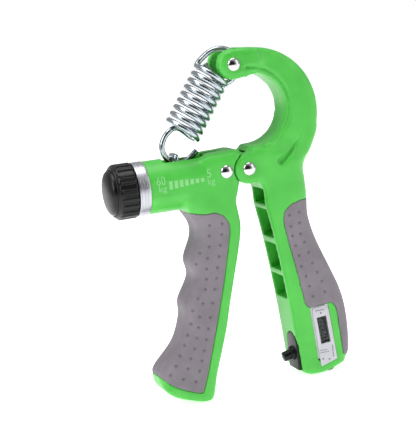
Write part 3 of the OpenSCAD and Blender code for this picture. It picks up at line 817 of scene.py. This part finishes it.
def makeGrip(name, outline, side, edge, spots, body, node):
    wide = half + handle["proud"]
    grip = plate(outline, -wide, wide, handle["edge"] + 0.6, 6)
    oneSkin(grip, 0.6, 3)
    roundSide(grip, side, wide)
    oneSkin(grip, 0.6, 1)
    inner = oneSkin(core(outline), handle["fine"], 0)
    cut(grip, [plate(edge, -flat, flat)], "INTERSECT")
    cut(grip, [inner, floorCut(), block((0, 0, 15), (200, 60, 60))])
    oneSkin(grip, dimples["voxel"], 2, 0.4)
    co = points(grip)
    normals = np.empty(len(co) * 3)
    grip.data.vertices.foreach_get("normal", normals)
    normals = normals.reshape(-1, 3)
    # the dimple mask sinks the dimples and also paints shade into them through the rubber's
    # colour
    pitAndShade = np.zeros(len(co))
    outer = (np.abs(co[:, 1]) > half - 3) & (normals[:, 1] * np.sign(co[:, 1]) > 0.35)
    for x, z in spots:
        away = np.hypot(co[:, 0] - x, co[:, 2] - z)
        pitAndShade = np.maximum(pitAndShade, np.where(outer, 1 - smoothStep(away, 0.25, dimples["radius"]), 0))
    co -= normals * (pitAndShade * dimples["depth"])[:, None]
    setPoints(grip, co)
    # the mask is kept on the mesh so that the rubber can paint shade into the dimples
    mark = grip.data.attributes.new("pitAndShade", "FLOAT", "POINT")
    mark.data.foreach_set("value", pitAndShade.astype(np.float32))
    return settle(grip, name, rubber, body, node, slot="grip_rubber", sharp=0)


makeGrip("frontGripRubber", frontOutline, fingerSide, frontGripEdge, dimples["front"],
         "front_handle", "front_grip")
makeGrip("rearGripRubber", rearOutline, palmSide, rearGripEdge, dimples["rear"],
         "rear_handle", "rear_grip")
print("grips")


def turned(profile, steps=96, start=(0, 0, 0), axis=(1, 0, 0)):
    # spins a profile of (distance along, radius) round an axis; closed ends sit on the axis
    bm = bmesh.new()
    line = [bm.verts.new((x, 0, r)) for x, r in profile]
    edges = [bm.edges.new(pair) for pair in zip(line, line[1:])]
    bmesh.ops.spin(bm, geom=line + edges, cent=(0, 0, 0), axis=(1, 0, 0), dvec=(0, 0, 0),
                   angle=math.tau, steps=steps, use_merge=True)
    bmesh.ops.remove_doubles(bm, verts=bm.verts, dist=1e-4)
    bmesh.ops.dissolve_degenerate(bm, edges=bm.edges, dist=1e-4)
    bmesh.ops.recalc_face_normals(bm, faces=bm.faces)
    turn = Vector((1, 0, 0)).rotation_difference(Vector(axis)).to_matrix().to_4x4()
    bmesh.ops.transform(bm, matrix=Matrix.Translation(start) @ turn, verts=bm.verts)
    return bm


ring = {"radius": 13.0, "inner": 11.3, "from": -55.1, "to": -49.6, "edge": 0.35, "line": 0.12}


def makeRing():
    r, c = ring["radius"], ring["edge"]
    a, b = ring["from"], ring["to"]
    profile = [(a, ring["inner"]), (a, r - c), (a + c * 0.3, r - c * 0.3), (a + c, r)]
    x = a + c + 0.5
    while x < b - c - 0.4:   # faint turning lines
        profile += [(x, r), (x + 0.12, r - ring["line"]), (x + 0.24, r)]
        x += 1.45
    profile += [(b - c, r), (b - c * 0.3, r - c * 0.3), (b, r - c), (b, ring["inner"]),
                (a, ring["inner"])]
    bm = turned(profile, 128, (0, 0, barrel["axis"]))
    settle(toObject("ring", bm), "alloyRing", aluminium, "front_handle", "barrel_ring",
           slot="satin_aluminium", sharp=25)


knob = {"radius": 13.3, "from": -64.6, "to": -55.4, "flutes": 24, "depth": 0.6, "share": 0.46,
        "dome": 4.4}


def makeKnob():
    r, a, b = knob["radius"], knob["from"], knob["to"]
    profile = [(a, 4.0), (a, 10.6), (a - 0.25, 11.2), (a - 0.25, 12.2), (a, r - 1.0),
               (a + 0.35, r - 0.35), (a + 0.9, r - 0.05), (a + 1.3, r), (a + 1.7, r),
               (a + 2.1, r), (a + 3.4, r), (a + 5.2, r), (a + 7.0, r), (b - 1.0, r),
               (b - 0.55, r - 0.05), (b - 0.18, r - 0.35), (b, r - 0.8), (b, 4.0), (a, 4.0)]
    bm = turned(profile, knob["flutes"] * 12, (0, 0, barrel["axis"]))
    for v in bm.verts:
        out = Vector((0, v.co.y, v.co.z - barrel["axis"]))
        if out.length < r - 1.2 or v.co.x < a + 0.2:
            continue
        phase = (math.atan2(out.y, out.z) / math.tau * knob["flutes"]) % 1.0
        off = abs(phase - 0.5) * 2 / knob["share"]
        run = min(1.0, max(0.0, (v.co.x - a - 0.6) / 1.2))
        push = knob["depth"] * run * max(0.0, 1 - off ** 2) ** 0.6 if off < 1 else 0.0
        v.co -= out.normalized() * push
    settle(toObject("knob", bm), "knobGrip", knobBlack, "knob", "adjust_knob",
           slot="black_plastic", sharp=35)
    # a low dome inside a thin raised rim
    dome = [(a + 1.2, 0.0), (a + 1.2, 11.0), (a - 0.4, 11.0), (a - 0.75, 10.9)]
    for i in range(1, 15):
        t = math.radians(90 * i / 14)
        dome.append((a - 0.75 - (knob["dome"] - 0.8) * math.sin(t) ** 0.85,
                     10.9 * math.cos(t) ** 0.75 if i < 14 else 0.0))
    settle(toObject("cap", turned(dome, 96, (0, 0, barrel["axis"]))), "knobDome", knobBlack,
           "knob", "knob_cap", slot="black_plastic", sharp=30)
    lip = [(a + 0.1, 10.95), (a - 0.55, 11.0), (a - 0.85, 11.25), (a - 0.85, 11.75),
           (a - 0.5, 12.15), (a + 0.1, 12.3), (a + 0.1, 10.95)]
    settle(toObject("lip", turned(lip, 128, (0, 0, barrel["axis"]))), "knobLip", black, "knob",
           slot="black_plastic", sharp=30)


rivets = {
    "pivotRivet": ("pivot_rivet", "front_handle", (0, 0), 24.2, 2.0),
    "lockRivet": ("lock_rivet", "front_handle", (-11.4, 0.2), 24.0, 1.5),
    "springRivet": ("spring_rivet", "rear_handle", (-1.8, 50), 21.0, 2.0),
}
rivetHead = {"radius": 3.1, "height": 1.5, "brim": 0.18}


def makeRivets():
    for name, (node, body, at, width, shank) in rivets.items():
        r, h, w = rivetHead["radius"], rivetHead["height"], width / 2
        ball = (r * r + (h - rivetHead["brim"]) ** 2) / (2 * (h - rivetHead["brim"]))
        dome = []
        for i in range(13):
            x = r * math.sin(math.radians(90 * (12 - i) / 12))
            dome.append((w + h - ball + math.sqrt(ball * ball - x * x), x if i < 12 else 0.0))
        side = [(w, shank), (w, r - 0.1), (w + rivetHead["brim"] * 0.5, r)] + dome
        profile = [(-x, rr) for x, rr in reversed(side)] + side
        bm = turned(profile, 64, (at[0], 0, at[1]), (0, 1, 0))
        settle(toObject("rivet", bm), name, chrome, body, node, slot="chromed_steel", sharp=50)


makeRing()
makeKnob()
makeRivets()
print("ring, knob and rivets")


spring = {"wire": 1.35, "coil": 8.2, "turns": 8.5, "from": (-27.7, 20.9), "to": (-9.7, 45.7),
          "steps": 36}
lowerLine = [(-21.6, 0.0, 10.9), (-25.0, 0.0, 8.2), (-28.0, 0, 6.5), (-30.6, 0.0, 6.1),
             (-33.8, 0, 6.8), (-36.6, 0, 9.0), (-38.3, 0, 12.2), (-38.4, 0, 15.6),
             (-36.9, 0.0, 19.0), (-34.6, 0.1, 21.4), (-31.8, 0.5, 22.9), (-28.8, 1.4, 22.4),
             (-25.8, 2.6, 20.2), (-23.2, 2.9, 17.8), (-21.6, 1.6, 16.4)]
upperLine = [(-16.2, 1.6, 51.3), (-14.6, 2.0, 53.0), (-12.4, 1.4, 54.9), (-9.9, 0.6, 56.6),
             (-7.4, 0, 57.5), (-4.6, 0, 57.7), (-1.4, 0, 57.0), (1.2, 0, 55.3), (3.0, 0, 52.6),
             (3.6, 0, 49.4), (3.0, 0, 46.4), (1.2, 0.1, 43.4), (-1.4, 0.5, 41.4),
             (-4.2, 1.2, 41.2), (-6.9, 2.0, 42.8), (-8.9, 2.5, 45.7), (-10.5, 2.8, 48.7),
             (-11.8, 2.9, 51.2)]


def tube(name, line, radius, sides=5):
    data = bpy.data.curves.new(name, "CURVE")
    data.dimensions = "3D"
    data.bevel_depth = radius
    data.bevel_resolution = sides
    data.use_fill_caps = True
    path = data.splines.new("POLY")
    path.points.add(len(line) - 1)
    for p, co in zip(path.points, line):
        p.co = (*co, 1)
    holder = bpy.data.objects.new(name, data)
    scene.collection.objects.link(holder)
    depsgraph = bpy.context.evaluated_depsgraph_get()
    mesh = bpy.data.meshes.new_from_object(holder.evaluated_get(depsgraph))
    bpy.data.objects.remove(holder)
    bpy.data.curves.remove(data)
    bm = bmesh.new()
    bm.from_mesh(mesh)
    bpy.data.meshes.remove(mesh)
    bmesh.ops.remove_doubles(bm, verts=bm.verts, dist=1e-4)
    bmesh.ops.recalc_face_normals(bm, faces=bm.faces)
    return toObject(name, bm)


def makeSpring():
    a, b = Vector(spring["from"]), Vector(spring["to"])
    along = (b - a).normalized()
    across = Vector((along.y, -along.x))
    count = int(spring["turns"] * spring["steps"])
    coil = []
    for i in range(count + 1):
        t = i / count
        turn = -math.tau * spring["turns"] * t
        flat2 = a + (b - a) * t + across * spring["coil"] * math.cos(turn)
        coil.append(Vector((flat2.x, spring["coil"] * math.sin(turn), flat2.y)))
    lower = smoothLine(lowerLine + [coil[0], coil[4]], 5)[:-5]
    upper = smoothLine([coil[-5], coil[-1]] + upperLine, 5)[5:]
    wire = tube("wire", lower[:-1] + coil + upper[1:], spring["wire"])
    wire.name = "springWire"
    wire.data.name = "springWire"
    wire.data.transform(toRow)
    wire.data.materials.clear()
    wire.data.materials.append(springSteel)
    wire.data.shade_smooth()
    wire.data.set_sharp_from_angle(angle=math.radians(50))
    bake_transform(wire)
    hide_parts("spring_lower_hook", "spring_coil", "spring_upper_hook")


staple = {"at": (-33.3, 10.1), "half": 4.0, "wire": 1.3, "bend": 1.2, "foot": -0.2}


def makeStaple():
    x, top, h, c = staple["at"][0], staple["at"][1], staple["half"], staple["bend"]
    corner = arcLine((h - c, top - c), c, 0, 90, 6)
    right = [(x, y, z) for y, z in corner]
    left = [(x, -y, z) for y, z in reversed(corner)]
    line = [(x, h, staple["foot"])] + right + left + [(x, -h, staple["foot"])]
    settle(tube("staple", line, staple["wire"]), "stapleWire", springSteel, "traveller",
           "traveller_staple", slot="spring_steel", sharp=50)


makeSpring()
makeStaple()
print("spring and staple")


scale = {"thick": 0.07, "sunk": 0.02, "from": -39.6, "to": -23.9, "bars": 7, "bar": 1.65,
         "tall": (-0.1, -4.1), "short": (-0.9, -2.7)}
scaleWords = [("60", -46.4, -1.4, 4.0, 4.3), ("kg", -45.6, -5.6, 3.9, 3.9),
              ("5", -21.5, -1.2, 4.0, 2.1), ("kg", -21.4, -5.5, 3.9, 3.5)]


def flatWord(text, x, z, height, width):
    data = bpy.data.curves.new("word", "FONT")
    data.body = text
    data.size = 1.0
    data.resolution_u = 3
    holder = bpy.data.objects.new("word", data)
    scene.collection.objects.link(holder)
    depsgraph = bpy.context.evaluated_depsgraph_get()
    mesh = bpy.data.meshes.new_from_object(holder.evaluated_get(depsgraph))
    bpy.data.objects.remove(holder)
    bpy.data.curves.remove(data)
    bm = bmesh.new()
    bm.from_mesh(mesh)
    bpy.data.meshes.remove(mesh)
    xs = [v.co.x for v in bm.verts]
    ys = [v.co.y for v in bm.verts]
    sx, sy = width / (max(xs) - min(xs)), height / (max(ys) - min(ys))
    for v in bm.verts:
        v.co = ((v.co.x - min(xs)) * sx + x, 0, (v.co.y - min(ys)) * sy + z)
    return toObject("word", bm)


def bar(x1, x2, z1, z2):
    bm = bmesh.new()
    bm.faces.new([bm.verts.new(p) for p in ((x1, 0, z1), (x2, 0, z1), (x2, 0, z2), (x1, 0, z2))])
    return toObject("bar", bm)


def printOn(pieces, name, material, body, slot, reach, thick):
    # lays flat shapes on a surface: reach gives the depth Y at a point
    print3 = joined(pieces)
    bm = bmesh.new()
    bm.from_mesh(print3.data)
    remove(print3)
    bmesh.ops.triangulate(bm, faces=bm.faces)
    bmesh.ops.subdivide_edges(bm, edges=[e for e in bm.edges if e.calc_length() > 0.8], cuts=2,
                              use_grid_fill=True)
    bmesh.ops.remove_doubles(bm, verts=bm.verts, dist=1e-4)
    bmesh.ops.recalc_face_normals(bm, faces=bm.faces)
    if sum(f.normal.y for f in bm.faces) > 0:
        bmesh.ops.reverse_faces(bm, faces=bm.faces)
    base = bm.faces[:]
    out = bmesh.ops.extrude_face_region(bm, geom=base, use_keep_orig=True)
    raised = {g for g in out["geom"] if isinstance(g, bmesh.types.BMVert)}
    for v in bm.verts:
        v.co.y = reach(v.co) - (thick if v in raised else 0.0)
    bmesh.ops.recalc_face_normals(bm, faces=bm.faces)
    settle(toObject("print", bm), name, material, body, slot=slot, sharp=40)


def onShell(co):
    # the near surface of the front handle, found from outside
    back = toRow.inverted()
    start = toRow @ Vector((co.x, -40, co.z))
    aim = toRow @ Vector((co.x, 0, co.z)) - start
    spot = frontShell.ray_cast(start, aim)[1]
    return (back @ spot).y + scale["sunk"]


def makeScale():
    pieces = [flatWord(*word) for word in scaleWords]
    for i in range(scale["bars"]):
        t = i / (scale["bars"] - 1)
        x = scale["from"] + (scale["to"] - scale["from"]) * t
        low = scale["tall"][1] + (scale["short"][1] - scale["tall"][1]) * t
        high = scale["tall"][0] + (scale["short"][0] - scale["tall"][0]) * t
        pieces.append(bar(x - scale["bar"] / 2, x + scale["bar"] / 2, low, high))
    printOn(pieces, "scalePrint", paleInk, "front_handle", "green_plastic", onShell,
            scale["thick"])


makeScale()
print("scale")


labelLook = {"thick": 0.55, "proud": 0.12, "edge": 0.12}


def makeLabel():
    near = -half - labelLook["proud"] + 0.06
    face = plate(label, near, near + labelLook["thick"])
    w, h = counter["windowSize"]
    hole = block((0, 0, 0), (w, 4, h))
    hole.data.transform(onLean((counter["window"][0], -half, counter["window"][1]),
                               counter["windowLean"]))
    cut(face, [hole])
    rounded(face, labelLook["edge"])
    settle(face, "counterFace", labelSilver, "rear_handle", "counter_label",
           slot="label_silver", sharp=40)
    # plain dashes stand in for the small print
    marks = []
    rows = [(26.0, 31.2, -74.4, 0.5), (26.4, 30.2, -94.4, 0.35), (26.5, 31.6, -95.6, 0.35),
            (27.3, 28.1, -99.0, 0.7), (30.6, 31.5, -99.6, 0.6), (28.4, 29.2, -76.0, 0.8)]
    for x1, x2, z, tall in rows:
        dash = 0.55 if x2 - x1 > 2 else x2 - x1
        x = x1
        while x + dash <= x2 + 1e-6:
            marks.append(bar(x, x + dash, z, z + tall))
            x += dash + 0.25
    z = -92.6
    while z > -97.8:
        marks.append(bar(33.0, 33.5, z - 0.6, z))
        z -= 0.85
    depth = near + 0.02
    printOn(marks, "counterMarks", darkInk, "rear_handle", "black_plastic",
            lambda co: depth, 0.05)


def makeTrigger():
    pad = triggerPad(-0.55, 1.7, -0.12)
    rounded(pad, 0.55, 4, 40)
    settle(pad, "triggerPlate", black, "rear_handle", "trigger_plate", slot="black_plastic",
           sharp=35)
    collar = [(-1.9, 2.62), (-1.9, 3.15), (-1.55, 3.5), (0.2, 3.75), (0.2, 2.62), (-1.9, 2.62)]
    bm = turned(collar, 64)
    bmesh.ops.transform(bm, matrix=onLean(trigger["at"], trigger["lean"]), verts=bm.verts)
    settle(toObject("collar", bm), "triggerCollar", black, "rear_handle", slot="black_plastic",
           sharp=35)
    r, out = trigger["pin"], trigger["out"]
    pin = [(-out, 0.0), (-out, r - 0.9), (-out + 0.12, r - 0.45), (-out + 0.45, r - 0.1),
           (-out + 0.9, r), (4.0, r), (4.0, r + 0.8), (5.0, r + 0.8), (5.0, 0.0)]
    bm = turned(pin, 64)
    bmesh.ops.transform(bm, matrix=onLean(trigger["at"], trigger["lean"]), verts=bm.verts)
    settle(toObject("pin", bm), "triggerPin", knobBlack, "plunger", "trigger_plunger",
           slot="black_plastic", sharp=35)
    r, low = resetPin["radius"], -resetPin["proud"]
    button = [(low, 0.0), (low, r - 0.5), (low + 0.1, r - 0.2), (low + 0.4, r),
              (low + resetPin["length"], r), (low + resetPin["length"], 0.0)]
    bm = turned(button, 48, (0, 0, 0), (0, 0, 1))
    bmesh.ops.transform(bm, matrix=onLean(resetPin["at"], resetPin["lean"]), verts=bm.verts)
    settle(toObject("button", bm), "resetPin", knobBlack, "reset", "reset_button",
           slot="black_plastic", sharp=35)


makeLabel()
makeTrigger()
print("counter and trigger")


def makeFloor():
    bm = bmesh.new()
    bmesh.ops.create_circle(bm, cap_ends=True, segments=96, radius=room["floor"])
    floor = toObject("floor", bm)
    floor.location = (0, 0, cadBox[0][2])
    pale = Finish("paleFloor", Roughness=0.8, Emission_Strength=room["glow"])
    cloud = pale.noise(300.0, 2.0)
    shade = pale.blend(cloud, (0.93, 0.93, 0.93, 1), (0.97, 0.97, 0.97, 1))
    pale.feed("Base Color", shade)
    pale.feed("Emission Color", shade)
    floor.data.materials.append(pale.material)


makeFloor()
